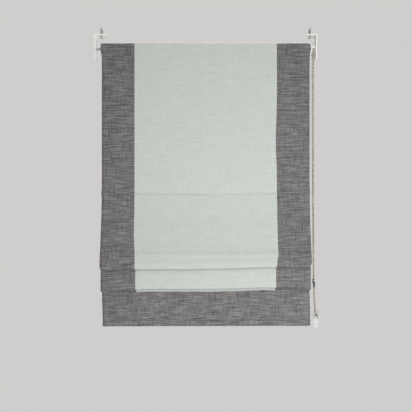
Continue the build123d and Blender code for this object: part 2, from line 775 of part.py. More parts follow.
def make_safety_clip(parts):
    """The clip that holds the bottom of the chain: a back plate, two cheeks and a post between them."""
    half = clip_width / 2
    plate_y = chain_bottom_radius + bead_radius + body_gap
    top = chain_bottom_z + clip_above_chain_bottom
    foot = chain_bottom_z - clip_below_chain_bottom
    front = -chain_bottom_radius - bead_radius - body_gap
    low_x = chain_bottom_x - half
    high_x = chain_bottom_x + half
    plate = block(low_x, high_x, plate_y, plate_y + clip_wall, foot, top)
    clip = fillet(plate.edges().filter_by(Axis.Y), clip_plate_corner)
    cheek_low = chain_bottom_z - clip_cheek_height / 2
    cheek_high = chain_bottom_z + clip_cheek_height / 2
    for start in (low_x, high_x - clip_wall):
        cheek = block(start, start + clip_wall, front, plate_y, cheek_low, cheek_high)
        clip += fillet(cheek.edges().filter_by(Axis.X).group_by(Axis.Y)[0], clip_cheek_corner)
    post = Plane.YZ.offset(low_x) * Pos(0, chain_bottom_z) * Circle(clip_post_radius)
    clip += extrude(post, clip_width)
    hole_place = Pos(chain_bottom_x, plate_y, foot + clip_hole_above_foot) * Rot(90, 0, 0)
    parts["chain_safety_clip"] = clip - hole_place * Cylinder(clip_hole_radius, 4 * clip_wall)


def save(parts):
    os.makedirs("parts", exist_ok=True)
    for name, shape in parts.items():
        solids = [s for one in (shape if isinstance(shape, list) else [shape]) for s in one.solids()]
        whole = solids[0] if len(solids) == 1 else Compound(solids)
        export_step(whole, f"parts/{name}.step")


def main():
    parts = {}
    make_headrail(parts)
    make_idle_end(parts)
    make_brackets(parts)
    make_screws(parts)
    make_drive_housing(parts)
    make_clutch_spring(parts)
    make_chain_wheel(parts)
    make_spools(parts)
    make_tapes(parts)
    make_upper_cloth(parts)
    make_lower_cloth(parts)
    make_bottom_border(parts)
    make_rods(parts)
    make_cord_connectors(parts)
    make_chain(parts)
    make_safety_clip(parts)
    save(parts)


main()
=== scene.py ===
"""A chain-operated roman blind, partly raised.

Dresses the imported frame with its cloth, cords, chain and finishes.
"""

import math

import bmesh
import bpy
from bpy.props import FloatProperty, FloatVectorProperty, IntProperty, PointerProperty
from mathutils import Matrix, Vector, noise


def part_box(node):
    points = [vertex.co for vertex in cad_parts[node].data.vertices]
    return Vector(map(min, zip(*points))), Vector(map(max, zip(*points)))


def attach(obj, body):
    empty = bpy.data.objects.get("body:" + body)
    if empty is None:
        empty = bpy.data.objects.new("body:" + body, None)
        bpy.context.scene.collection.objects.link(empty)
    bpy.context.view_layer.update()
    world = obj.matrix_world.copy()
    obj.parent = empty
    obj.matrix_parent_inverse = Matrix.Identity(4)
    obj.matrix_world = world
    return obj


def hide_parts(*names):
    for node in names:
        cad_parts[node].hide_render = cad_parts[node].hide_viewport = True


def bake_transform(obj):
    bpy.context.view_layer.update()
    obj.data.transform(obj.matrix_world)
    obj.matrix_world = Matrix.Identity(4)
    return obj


bl_info = {
    "name": "Roman blind",
    "version": (1, 0, 0),
    "blender": (4, 5, 0),
    "location": "3D View > Sidebar > Roman blind",
    "description": "Builds the cloth, cords, chain and finishes of a partly raised roman blind",
    "category": "Object",
}

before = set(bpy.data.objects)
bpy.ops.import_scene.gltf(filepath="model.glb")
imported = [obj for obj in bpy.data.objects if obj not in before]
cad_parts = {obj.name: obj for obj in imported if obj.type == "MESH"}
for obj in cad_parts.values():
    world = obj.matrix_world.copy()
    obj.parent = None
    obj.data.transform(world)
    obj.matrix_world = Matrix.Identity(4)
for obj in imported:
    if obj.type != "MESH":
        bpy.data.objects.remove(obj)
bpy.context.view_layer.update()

# Sizes of the blind in millimetres, as in the solids
MM = 0.001
HALF_CLOTH = 305.0
HALF_CENTRE = 208.5
HALF_LINING = 287.0
TURNING = 30.0
CLOTH = 0.8
LINING_FRONT = 1.7
LINING_BACK = 2.2
FRONT_Y = -21.6
TOP_Z = -25.0
SHAFT_Z = -38.5
TOP_SLEEVE_DROP = 439.0
UPPER_FOLD_DROP = 657.0
LOWER_FOLD_DROP = 717.0
SEAM_DROP = 726.5
FOOT_DROP = 828.0
ROD_PLACES = {"top": (-16.4, -464.0), "middle": (-23.1, -549.1), "bottom": (-16.6, -565.1)}
CORD_Y = -8.75
CORD_X = {"left": -215.0, "middle": 0.0, "right": 215.0}
WHEEL_X = 316.5
WHEEL_RADIUS = 14.3239
CHAIN_FOOT_X = 325.5
CHAIN_FOOT_Z = -823.0
CHAIN_FOOT_RADIUS = 5.0
BEADS = 272
CHAIN_WIRE_RADIUS = 0.45
THREAD_RADIUS = 0.28
HEM_STITCH = 1.6
LINING_STITCH = 1.9
CORD_TURNS = 9

# The stage, in metres, with the lens in millimetres
FLOOR_Z = -1.9
FLOOR_RADIUS = 2.6
CAMERA_PLACE = (0.00088, -2.5216, -0.5011)
CAMERA_LENS = 74.6

# Outlines of the cloth's face: forward of the flat cloth, below its top edge, corner radius
HANGING = [
    (0, 0, 0),
    (0, TOP_SLEEVE_DROP, 152.6),
    (12.3, 508.8, 152.6),
    (35.7, 582.9, 119.9),
    (59.0, 639.6, 30.5),
    (61.5, UPPER_FOLD_DROP, 6.0),
    (54.3, UPPER_FOLD_DROP, 0),
]
STACKED = [
    (54.3, UPPER_FOLD_DROP, 0),
    (47.1, UPPER_FOLD_DROP, 6.0),
    (30.8, 607.1, 57.6),
    (8.6, 548.2, 38.4),
    (4.0, 529, 2.2),
    (-1.0, 529, 2.2),
    (4.0, 551.6, 37.6),
    (20.1, 611.7, 75.2),
    (32.5, 668.1, 75.2),
    (33.5, LOWER_FOLD_DROP, 5.0),
    (22.0, LOWER_FOLD_DROP, 5.0),
    (16.8, 660.2, 77.4),
    (2.4, 579.4, 60.2),
    (-2.5, 545, 2.2),
    (-7.5, 545, 2.2),
    (-7.0, 575.9, 90.0),
    (-3.0, 650.3, 90.0),
    (0, 713.8, 145.0),
]
HEM = [
    (0, SEAM_DROP, 0),
    (0, FOOT_DROP, 2.3),
    (-4.8, FOOT_DROP, 2.3),
    (-4.8, 813.8, 2.0),
    (-1.65, 809.8, 2.0),
    (-1.65, 790, 0),
]
HEM_STITCH_DROP = 809.4
LINING_END_DROP = 787.0

# How far the lower edge of each fold hangs below its straight line, at places across the blind
UPPER_FOLD_EDGE = [
    (-305, 2),
    (-285, 4),
    (-209, 1),
    (-70, 1),
    (85, -1.5),
    (164, -5),
    (209, -4.5),
    (285, -4),
    (305, -8),
]
LOWER_FOLD_EDGE = [
    (-305, 8),
    (-209, 2.5),
    (-190, 0.3),
    (20, 0),
    (85, -1.5),
    (164, -4.5),
    (209, -4),
    (305, 2),
]

# Where the stitches of the top rod's sleeve draw the cloth in, against a straight line
SLEEVE_CREASE = [(-305, -1), (-190, -1.5), (-60, 1), (50, 3.8), (90, 2), (140, -2.4), (305, -1.5)]

# Drops between which the cloth has creases too narrow for the usual rows
FINE_DROPS = [(427, 453), (803, 816)]


def linear(code):
    """An sRGB hex colour as linear red, green, blue and alpha."""
    parts = [int(code[i : i + 2], 16) / 255 for i in (1, 3, 5)]
    return tuple(p / 12.92 if p <= 0.04045 else ((p + 0.055) / 1.055) ** 2.4 for p in parts) + (1.0,)


def add_node(tree, kind, settings=None, inputs=None):
    """Adds a node with its settings, and with values or links on its inputs."""
    made = tree.nodes.new(kind)
    for key, value in (settings or {}).items():
        setattr(made, key, value)
    for key, value in (inputs or {}).items():
        if isinstance(value, bpy.types.NodeSocket):
            tree.links.new(value, made.inputs[key])
        else:
            made.inputs[key].default_value = value
    return made


# How the cloth hangs


def bump(value, centre, width):
    """One smooth hump, 1 at its centre."""
    return math.exp(-(((value - centre) / width) ** 2))


def ramp(value, low, high):
    """Rises smoothly from 0 to 1 between two values."""
    t = min(max((value - low) / (high - low), 0.0), 1.0)
    return t * t * (3 - 2 * t)


def across(x, table):
    """A smooth line through the values that a table gives across the blind."""
    if x <= table[0][0]:
        return table[0][1]
    for (x_low, low), (x_high, high) in zip(table, table[1:]):
        if x <= x_high:
            return low + (high - low) * ramp(x, x_low, x_high)
    return table[-1][1]


def wander(x, down, x_size, down_size, seed):
    """Smooth noise from -1 to 1, with lumps of about the given sizes."""
    return noise.noise(Vector((x / x_size, down / down_size, seed)))


def drape(x, forward, down, depth):
    """How far the cloth at a place moves sideways, forward and down from its straight fold."""
    # The cloth is held flat by the tape at its top and by the rod sewn behind it
    in_stack = down > 445
    in_hem = down > 722
    crease = TOP_SLEEVE_DROP + across(x, SLEEVE_CREASE) + 0.8 * wander(x, 0, 50, 1, 3.1)
    tuck = ramp(down, crease - 26, crease) * (1 - ramp(down, crease, crease + 5))
    held = ramp(down, 24, 60) * (1 - tuck)
    if in_stack:
        held = max(ramp(forward, 4, 24), ramp(down, 640, 715)) * ramp(down, 444, 470)
    if in_hem:
        held = ramp(forward, -1.6, -0.2) * (1 - ramp(down, 790, 806))
    broad = 0.5 + 0.5 * wander(x, down, 150, 230, 7.7)
    small = 0.5 + 0.5 * wander(x, down, 46, 90, 2.3)
    out = depth * held * (1.6 * broad + 0.7 * small)
    # Old fold lines and the soft break across the upper fold
    front_only = ramp(forward, 20, 34) if in_stack else 1.0
    old_fold = 248 + 1.5 * wander(x, 0, 90, 1, 5.5)
    out += depth * 0.5 * bump(down, old_fold - 5, 6) * (0.6 + 0.4 * wander(x, 0, 70, 1, 8.2))
    out += depth * held * 0.7 * bump(down, crease, 32)
    soft_break = 616 + 2.5 * wander(x, 0, 80, 1, 4.4)
    out += depth * 1.7 * front_only * bump(down, soft_break, 7) * ramp(down, 560, 600)
    # The hem's stitches
    if in_hem:
        drawn = ramp(down, HEM_STITCH_DROP - 9, HEM_STITCH_DROP)
        drawn *= 1 - ramp(down, HEM_STITCH_DROP, HEM_STITCH_DROP + 3.0)
        out -= depth * drawn * (1.5 + 0.6 * wander(x, 0, 9, 1, 6.6))
    # A slanting pull across the lower fold, right of the middle
    slant = (x - 86) * 0.8 + (down - 700) * 0.6
    out += 1.1 * depth * bump(slant, 0, 9) * bump(x, 86, 30) * bump(down, 700, 16) * ramp(forward, 8, 26)
    # The side hems are stiffer than the cloth between them and curl back a little
    edge = ramp(abs(x), 268, HALF_CLOTH)
    out -= 0.9 * depth * held * edge * (1 - bump(down, 0, 60))
    out -= 6.0 * depth * ramp(down, 26, 60) * max(0.0, (abs(x) - 298.5) / 6.5) ** 2
    # The folds' lower edges and the sides
    fall = across(x, UPPER_FOLD_EDGE) * bump(down, UPPER_FOLD_DROP, 34)
    fall += across(x, LOWER_FOLD_EDGE) * bump(down, 722, 26)
    fall -= x / HALF_CLOTH * ramp(down, 790, FOOT_DROP)
    aside = math.copysign(3.6, x) * bump(down, 14, 12) * ramp(abs(x), 240, HALF_CLOTH)
    aside += 2.2 * ramp(down, 705, FOOT_DROP)
    # The two long seams draw together where the cloth folds
    aside += 5.0 * ramp(down, 540, 640) * bump(x, -HALF_CENTRE, 55)
    aside -= 5.0 * ramp(down, 612, 655) * bump(x, HALF_CENTRE, 55)
    aside -= 3.6 * bump(down, 283, 70) * bump(x, 214, 26)
    corner = bump(down, 660, 9) * ramp(forward, 30, 50)
    aside += corner * (2.5 * ramp(-x, 280, HALF_CLOTH) - 4.5 * ramp(x, 275, HALF_CLOTH))
    aside += 1.4 * bump(down, crease, 10) * math.copysign(ramp(abs(x), 285, HALF_CLOTH), x)
    return aside, out, fall


def rounded_rows(corners, step=3.0):
    """Rows along an outline with rounded corners: place, outward way, and length from the start."""
    places = [Vector(corner[:2]) for corner in corners]
    line = [places[0]]
    for before, corner, after, (_, _, radius) in zip(places, places[1:], places[2:], corners[1:]):
        way_in = (corner - before).normalized()
        way_out = (after - corner).normalized()
        turn = way_in.angle_signed(way_out)
        reach = radius * math.tan(abs(turn) / 2)
        start = corner - way_in * reach
        inward = Vector((way_in.y, -way_in.x)) * math.copysign(radius, turn)
        steps = max(2, math.ceil(abs(turn) / math.radians(14)))
        for i in range(steps + 1):
            angle = -turn * i / steps
            arm = -inward
            turned = Vector((arm.x * math.cos(angle) - arm.y * math.sin(angle),
                             arm.x * math.sin(angle) + arm.y * math.cos(angle)))
            line.append(start + inward + turned)
    line.append(places[-1])
    rows = []
    length = 0.0
    for low, high in zip(line, line[1:]):
        span = (high - low).length
        if span < 1e-4:
            continue
        gone = 0.0
        while span - gone > 0.3:
            place = low.lerp(high, gone / span)
            rows.append([place, length + gone])
            gone += 1.0 if any(start < place.y < end for start, end in FINE_DROPS) else step
        length += span
    rows.append([line[-1], length])
    finished = []
    for i, (place, along) in enumerate(rows):
        way = rows[min(i + 1, len(rows) - 1)][0] - rows[max(i - 1, 0)][0]
        way.normalize()
        finished.append((place, Vector((way.y, -way.x)), along))
    return finished


def spread(start, end, step):
    """Evenly spaced values from start to end, with two extra near each end for a rolled edge."""
    count = max(2, math.ceil(abs(end - start) / step))
    inner = [start + (end - start) * i / count for i in range(1, count)]
    lip = math.copysign(0.5, end - start)
    return [start, start + lip * 0.5, start + lip * 2, *inner, end - lip * 2, end - lip * 0.5, end]


def flat_ribbon(x_low, x_high, near, far, step=6.0):
    """A sheet's section: pairs of points on its face and its back, as (x, distance behind the outline)."""
    xs = spread(x_low, x_high, step)
    pinch = (far - near) * 0.3
    pairs = []
    for i, x in enumerate(xs):
        tuck = pinch if i in (0, len(xs) - 1) else pinch * 0.3 if i in (1, len(xs) - 2) else 0
        pairs.append(((x, near + tuck), (x, far - tuck)))
    return pairs


def turned_ribbon(side):
    """A side border's section: one thickness, folded round the outer edge to a turning behind."""
    loose = 0.05
    outer = HALF_CLOTH - CLOTH
    pairs = []
    for (x, near), (_, far) in flat_ribbon(HALF_CENTRE, outer, 0, CLOTH - loose, 5.0)[:-1]:
        pairs.append(((x, near), (x, far)))
    for i in range(9):
        turn = math.pi * i / 8
        reach_x = math.sin(turn)
        reach_d = -math.cos(turn)
        pairs.append(
            (
                (outer + CLOTH * reach_x, CLOTH + CLOTH * reach_d),
                (outer + loose * reach_x, CLOTH + loose * reach_d),
            )
        )
    for (x, near), (_, far) in flat_ribbon(outer, HALF_CLOTH - TURNING, CLOTH + loose, 2 * CLOTH, 5.0)[1:]:
        pairs.append(((x, far), (x, near)))
    return [((side * a[0], a[1]), (side * b[0], b[1])) for a, b in pairs]


def finish_mesh(obj, sharp=50):
    """Turns the faces of a closed mesh outwards and shades it smooth, apart from sharp edges."""
    work = bmesh.new()
    work.from_mesh(obj.data)
    bmesh.ops.recalc_face_normals(work, faces=work.faces)
    work.to_mesh(obj.data)
    work.free()
    obj.data.polygons.foreach_set("use_smooth", [True] * len(obj.data.polygons))
    obj.data.set_sharp_from_angle(angle=math.radians(sharp))


def new_object(name, verts, faces, material):
    """A mesh object in the scene, at the origin."""
    mesh = bpy.data.meshes.new(name)
    mesh.from_pydata([tuple(v) for v in verts], [], faces)
    obj = bpy.data.objects.new(name, mesh)
    bpy.context.scene.collection.objects.link(obj)
    if material:
        mesh.materials.append(material)
    return obj


def to_frame(x, forward, down):
    """A place on the cloth in the shared frame, in metres."""
    return Vector((x, FRONT_Y - forward, TOP_Z - down)) * MM


def draped_place(x, place, outward, distance, depth):
    """A place at a distance behind the cloth's face, moved as the cloth there hangs."""
    aside, out, fall = drape(x, place.x, place.y, depth)
    at = place - outward * distance
    return to_frame(x + aside, at.x + out, at.y + fall)


def swept_cloth(name, rows, ribbon, material, depth):
    """Sweeps a ribbon's section along the cloth's outline, as one closed sheet with its own weave map."""
    verts = []
    run = [ribbon[0][0][0]]
    heading = ribbon[1][0][0] - ribbon[0][0][0]
    for (a, _), (b, _) in zip(ribbon, ribbon[1:]):
        run.append(run[-1] + math.copysign((Vector(b) - Vector(a)).length, heading))
    for place, outward, _ in rows:
        for side in (0, 1):
            for pair in ribbon:
                x, distance = pair[side]
                verts.append(draped_place(x, place, outward, distance, depth))
    width = len(ribbon)
    ring = 2 * width
    faces = []
    for r in range(len(rows) - 1):
        a = r * ring
        b = a + ring
        for c in range(width - 1):
            faces.append((a + c, a + c + 1, b + c + 1, b + c))
            faces.append((a + width + c + 1, a + width + c, b + width + c, b + width + c + 1))
        for c in (0, width - 1):
            faces.append((a + c, b + c, b + width + c, a + width + c))
    for start in (0, (len(rows) - 1) * ring):
        for c in range(width - 1):
            faces.append((start + c, start + width + c, start + width + c + 1, start + c + 1))
    obj = new_object(name, verts, faces, material)
    finish_mesh(obj)
    weave = obj.data.uv_layers.new(name="weave")
    lengths = [row[2] for row in rows]
    for loop in obj.data.loops:
        row, column = divmod(loop.vertex_index, ring)
        weave.data[loop.index].uv = (run[column % width] * MM, -lengths[row] * MM)
    return obj


def cloth_sections():
    """The cloths of a drop or a stack: piece, node, material, section and the width it was cut to."""
    pale = flat_ribbon(-HALF_CENTRE, HALF_CENTRE, 0, CLOTH)
    lining = flat_ribbon(-HALF_LINING, HALF_LINING, LINING_FRONT, LINING_BACK, 8.0)
    border_width = HALF_CLOTH - HALF_CENTRE + TURNING
    return [
        ("pale_panel", "centre_cloth", "pale_slub_linen", pale, 2 * HALF_CENTRE),
        ("left_band", "left_border", "charcoal_slub_linen", turned_ribbon(-1), border_width),
        ("right_band", "right_border", "charcoal_slub_linen", turned_ribbon(1), border_width),
        ("lining_cloth", "lining", "ivory_lining_sateen", lining, 2 * HALF_LINING),
    ]


def stand_in(node):
    """Hides the solid whose place a swept sheet takes."""
    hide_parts(node)


def smooth_route(points, steps):
    """Places along the smooth line of a cord that is led by its route's points."""
    curve = bpy.data.curves.new("cord_route", "CURVE")
    curve.dimensions = "3D"
    curve.resolution_u = steps
    spline = curve.splines.new("NURBS")
    spline.points.add(len(points) - 1)
    for knot, place in zip(spline.points, points):
        knot.co = (*place, 1)
    spline.order_u = 3
    spline.use_endpoint_u = True
    holder = bpy.data.objects.new("cord_route", curve)
    line = bpy.data.meshes.new_from_object(holder)
    places = [vertex.co.copy() for vertex in line.vertices]
    bpy.data.objects.remove(holder)
    bpy.data.meshes.remove(line)
    return places


def bend_with_stack(obj):
    """Bakes the placement of a piece that hangs from the headrail into its mesh."""
    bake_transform(obj)


# Finishes


def new_material(name):
    """An empty node material with a principled shader on its output."""
    material = bpy.data.materials.new(name)
    material.use_nodes = True
    tree = material.node_tree
    tree.nodes.clear()
    shader = add_node(tree, "ShaderNodeBsdfPrincipled")
    add_node(tree, "ShaderNodeOutputMaterial", inputs={"Surface": shader.outputs[0]})
    return material, tree, shader


def yarn_noise(tree, weave, long_way, cross_way, seed):
    """Noise drawn out along one yarn direction, as lengths in millimetres."""
    place = add_node(
        tree,
        "ShaderNodeMapping",
        inputs={
            "Vector": weave,
            "Location": (seed, seed, 0),
            "Scale": (1 / (long_way * MM), 1 / (cross_way * MM), 1),
        },
    )
    grain = add_node(
        tree,
        "ShaderNodeTexNoise",
        inputs={"Vector": place.outputs[0], "Scale": 1.0, "Detail": 2.5, "Roughness": 0.62},
    )
    return grain.outputs[0]


def woven(
    name,
    ground,
    pale_yarn,
    dark_yarn,
    warm_yarn,
    contrast,
    thread_mm,
    sheen,
    roughness=0.88,
    specular=0.2,
    painted_light_ramp=0.0,
):
    """Plain-woven cloth whose yarns are each a little paler, darker or warmer than the next, both ways."""
    material, tree, shader = new_material(name)
    weave = add_node(tree, "ShaderNodeUVMap", {"uv_map": "weave"}).outputs[0]
    # Real yarns are about 0.5 mm thick. They are drawn 2.4 to 3.2 mm thick, the least that still
    # shows from across a room
    weft = yarn_noise(tree, weave, 55.0, 2.4, 0.0)
    warp = yarn_noise(tree, weave, 2.4, 40.0, 9.0)
    slub = yarn_noise(tree, weave, 50.0, 3.2, 21.0)
    fleck = yarn_noise(tree, weave, 8.0, 2.8, 35.0)
    colour = ground
    for source, low, high, share, yarn in (
        (weft, 0.45, 0.66, 1.0, pale_yarn),
        (warp, 0.54, 0.33, 0.7, dark_yarn),
        (slub, 0.51, 0.34, 0.75, dark_yarn),
        (fleck, 0.52, 0.70, 0.6, warm_yarn),
    ):
        part = add_node(
            tree, "ShaderNodeMapRange", inputs={0: source, 1: low, 2: high, 3: 0.0, 4: contrast * share}
        )
        mixed = add_node(
            tree, "ShaderNodeMix", {"data_type": "RGBA"}, {0: part.outputs[0], 6: colour, 7: linear(yarn)}
        )
        colour = mixed.outputs[2]
    threads = []
    for way in ("X", "Y"):
        # A sine band's period is 0.1 pi over its scale
        bands = add_node(
            tree,
            "ShaderNodeTexWave",
            {"wave_type": "BANDS", "bands_direction": way, "wave_profile": "SIN"},
            {
                "Vector": weave,
                "Scale": 0.1 * math.pi / (2 * thread_mm * MM),
                "Distortion": 0.8,
                "Detail": 1.0,
            },
        )
        threads.append(bands.outputs[1])
    cross = add_node(tree, "ShaderNodeMath", {"operation": "MAXIMUM"}, {0: threads[0], 1: threads[1]})
    uneven = add_node(tree, "ShaderNodeMath", {"operation": "ADD"}, {0: weft, 1: warp})
    height = add_node(
        tree,
        "ShaderNodeMath",
        {"operation": "MULTIPLY_ADD"},
        {0: uneven.outputs[0], 1: 1.2, 2: cross.outputs[0]},
    )
    relief = add_node(
        tree, "ShaderNodeBump", inputs={"Strength": 0.5, "Distance": 0.0003, "Height": height.outputs[0]}
    )
    shaded = add_node(
        tree, "ShaderNodeMapRange", inputs={0: cross.outputs[0], 1: 0.2, 2: 1.0, 3: 0.95, 4: 1.02}
    )
    tone = shaded.outputs[0]
    if painted_light_ramp:
        # Painted light: the colour is drawn a little darker at the top of the blind and lighter towards its
        # foot, where the light on the cloth is stronger
        where = add_node(tree, "ShaderNodeTexCoord")
        place = add_node(tree, "ShaderNodeSeparateXYZ", inputs={0: where.outputs["Object"]})
        painted_light_level = add_node(
            tree,
            "ShaderNodeMapRange",
            inputs={0: place.outputs[2], 1: TOP_Z * MM, 2: CHAIN_FOOT_Z * MM, 3: 1 - painted_light_ramp, 4: 1 + painted_light_ramp},
        )
        both = add_node(tree, "ShaderNodeMath", {"operation": "MULTIPLY"}, {0: tone, 1: painted_light_level.outputs[0]})
        tone = both.outputs[0]
    toned = add_node(tree, "ShaderNodeVectorMath", {"operation": "SCALE"}, {0: colour, "Scale": tone})
    tree.links.new(toned.outputs[0], shader.inputs["Base Color"])
    tree.links.new(relief.outputs[0], shader.inputs["Normal"])
    shader.inputs["Roughness"].default_value = roughness
    shader.inputs["Specular IOR Level"].default_value = specular
    shader.inputs["Sheen Weight"].default_value = sheen
    shader.inputs["Sheen Roughness"].default_value = 0.45
    return material


def surface(name, base, worn, roughness, grain_mm, relief_mm, metallic=0.0, stretch=(1, 1, 1), ior=1.5):
    """A hard surface with the fine grain that its making leaves, and slightly uneven colour and gloss."""
    material, tree, shader = new_material(name)
    where = add_node(tree, "ShaderNodeTexCoord")
    place = add_node(
        tree, "ShaderNodeMapping", inputs={"Vector": where.outputs["Object"], "Scale": stretch}
    )
    grain = add_node(
        tree,
        "ShaderNodeTexNoise",
        inputs={"Vector": place.outputs[0], "Scale": 1 / (grain_mm * MM), "Detail": 3.0, "Roughness": 0.55},
    )
    cloud = add_node(
        tree, "ShaderNodeTexNoise", inputs={"Vector": where.outputs["Object"], "Scale": 38.0, "Detail": 4.0}
    )
    colour = add_node(
        tree,
        "ShaderNodeMix",
        {"data_type": "RGBA"},
        {0: cloud.outputs[0], 6: linear(base), 7: linear(worn)},
    )
    gloss = add_node(
        tree,
        "ShaderNodeMapRange",
        inputs={0: cloud.outputs[0], 1: 0.3, 2: 0.7, 3: roughness * 0.85, 4: min(roughness * 1.2, 1.0)},
    )
    relief = add_node(
        tree,
        "ShaderNodeBump",
        inputs={"Strength": 0.6, "Distance": relief_mm * MM, "Height": grain.outputs[0]},
    )
    tree.links.new(colour.outputs[2], shader.inputs["Base Color"])
    tree.links.new(gloss.outputs[0], shader.inputs["Roughness"])
    tree.links.new(relief.outputs[0], shader.inputs["Normal"])
    shader.inputs["Metallic"].default_value = metallic
    if not metallic:
        shader.inputs["IOR"].default_value = ior
    return material


def braided(name, base, worn, pitch_mm):
    """A thin braided cord: crossing strands show as a fine spiral relief."""
    material, tree, shader = new_material(name)
    where = add_node(tree, "ShaderNodeTexCoord")
    # A sine band's period is 0.31 over its scale
    strands = add_node(
        tree,
        "ShaderNodeTexWave",
        {"wave_type": "BANDS", "bands_direction": "DIAGONAL"},
        {
            "Vector": where.outputs["Object"],
            "Scale": 0.31 / (pitch_mm * MM),
            "Distortion": 1.5,
            "Detail": 1.0,
        },
    )
    colour = add_node(
        tree,
        "ShaderNodeMix",
        {"data_type": "RGBA"},
        {0: strands.outputs[1], 6: linear(worn), 7: linear(base)},
    )
    relief = add_node(
        tree, "ShaderNodeBump", inputs={"Strength": 0.5, "Distance": 0.0002, "Height": strands.outputs[1]}
    )
    tree.links.new(colour.outputs[2], shader.inputs["Base Color"])
    tree.links.new(relief.outputs[0], shader.inputs["Normal"])
    shader.inputs["Roughness"].default_value = 0.7
    return material


def clear_plastic(name):
    """Clear moulded polycarbonate with faint flow marks."""
    material = surface(name, "#EDF1F1", "#E2E8E8", 0.24, 6.0, 0.02, ior=1.4)
    material.node_tree.nodes["Principled BSDF"].inputs["Transmission Weight"].default_value = 0.95
    return material


def finish(name):
    """One of the object's finishes, made the first time it is asked for."""
    if name in bpy.data.materials:
        return bpy.data.materials[name]
    cloth = bpy.context.scene.roman_blind_cloth
    pale = tuple(cloth.pale_colour) + (1.0,)
    dark = tuple(cloth.border_colour) + (1.0,)
    lining = tuple(cloth.lining_colour) + (1.0,)
    makers = {
        # Washed linen in a grey-green so pale that its slubs hardly show
        "pale_slub_linen": lambda: woven(
            name, pale, "#D3D8D2", "#A6B0AC", "#C9C8BD", 0.38, cloth.thread_spacing, 0.08
        ),
        # Yarn-dyed linen, pressed to a slight lustre: charcoal ground with paler, bluish and tan slubs
        "charcoal_slub_linen": lambda: woven(
            name,
            dark,
            "#9E9C9B",
            "#2C2D37",
            "#9A897A",
            0.85,
            cloth.thread_spacing,
            0.08,
            roughness=0.68,
            specular=0.35,
            # Painted light: this cloth's colour is drawn darker at the blind's top and lighter towards its
            # foot
            painted_light_ramp=0.075,
        ),
        # Close cotton sateen, smooth and ivory
        "ivory_lining_sateen": lambda: woven(name, lining, "#EAE6D8", "#CFCABA", "#DED7C4", 0.2, 1.1, 0.05),
        # Brushed polyester hooks and loops, furry and dull
        "hook_and_loop_tape": lambda: woven(
            name, linear("#ECECEA"), "#F4F4F2", "#C4C4C1", "#D2D2CE", 0.5, 1.5, 0.4
        ),
        # Polyester sewing thread with a slight shine. Its grey is darker than the border's, partly the
        # thread's own colour and partly painted shade for the crease that the hem's stitches draw in
        "sewing_thread": lambda: surface(name, "#4C4A4C", "#5E5B5C", 0.55, 0.6, 0.03),
        "pale_sewing_thread": lambda: surface(name, "#CFD3CD", "#DFE2DC", 0.55, 0.6, 0.03),
        # White polyester powder coat on steel: fine orange peel, soft gloss
        "white_powder_coat": lambda: surface(name, "#FCFCFB", "#F8F8F6", 0.38, 1.4, 0.035),
        # White moulded acetal with a fine spark-eroded texture
        "white_moulded_acetal": lambda: surface(name, "#EDEDEA", "#E2E2DE", 0.42, 0.7, 0.03),
        # Grey moulded nylon, satin and faintly mottled
        "grey_moulded_nylon": lambda: surface(name, "#5C5F64", "#4F5257", 0.45, 0.8, 0.03),
        # Clear moulded polycarbonate, which hardly shows: its gloss and refraction are kept low
        "clear_polycarbonate": lambda: clear_plastic(name),
        # Zinc-plated steel: bluish grey, cloudy
        "zinc_plated_steel": lambda: surface(name, "#C3C6C8", "#A9ACB0", 0.34, 0.5, 0.01, metallic=1.0),
        # Oiled spring steel, drawn along its length
        "oiled_spring_steel": lambda: surface(name, "#7C7A78", "#5F5D5B", 0.3, 0.4, 0.01, metallic=1.0),
        # Extruded aluminium: lines run along the bar
        "extruded_aluminium": lambda: surface(
            name, "#C9CACC", "#B9BABD", 0.36, 0.5, 0.01, metallic=1.0, stretch=(0.02, 1, 1)
        ),
        # Pultruded glass-fibre rod: off-white, streaked along its length
        "pultruded_fibreglass": lambda: surface(
            name, "#DEDCCB", "#CCC9B6", 0.4, 0.4, 0.02, stretch=(0.02, 1, 1)
        ),
        # Nickel-brass ball chain, rolled and tumbled bright
        "tumbled_brass": lambda: surface(name, "#D0C9B5", "#A69E8A", 0.27, 0.9, 0.006, metallic=1.0),
        # Braided polyester lift cord: white, with a fine spiral of strands
        "braided_polyester": lambda: braided(name, "#F1F1EE", "#D2D2CC", 0.8),
    }
    return makers[name]()


# Repeats made with geometry nodes


def node_group(name, inputs):
    """An empty geometry tree with named inputs after its geometry."""
    tree = bpy.data.node_groups.new(name, "GeometryNodeTree")
    tree.interface.new_socket("Geometry", in_out="INPUT", socket_type="NodeSocketGeometry")
    for label, kind in inputs.items():
        tree.interface.new_socket(label, in_out="INPUT", socket_type=kind)
    tree.interface.new_socket("Geometry", in_out="OUTPUT", socket_type="NodeSocketGeometry")
    return tree, add_node(tree, "NodeGroupInput")


def close_group(tree, given, geometry):
    """Ends a tree: real geometry, smooth, with the piece's material."""
    real = add_node(tree, "GeometryNodeRealizeInstances", inputs={0: geometry})
    smooth = add_node(tree, "GeometryNodeSetShadeSmooth", inputs={0: real.outputs[0]})
    painted = add_node(
        tree,
        "GeometryNodeSetMaterial",
        inputs={0: smooth.outputs[0], "Material": given.outputs["Material"]},
    )
    add_node(tree, "NodeGroupOutput", inputs={0: painted.outputs[0]})
    return tree


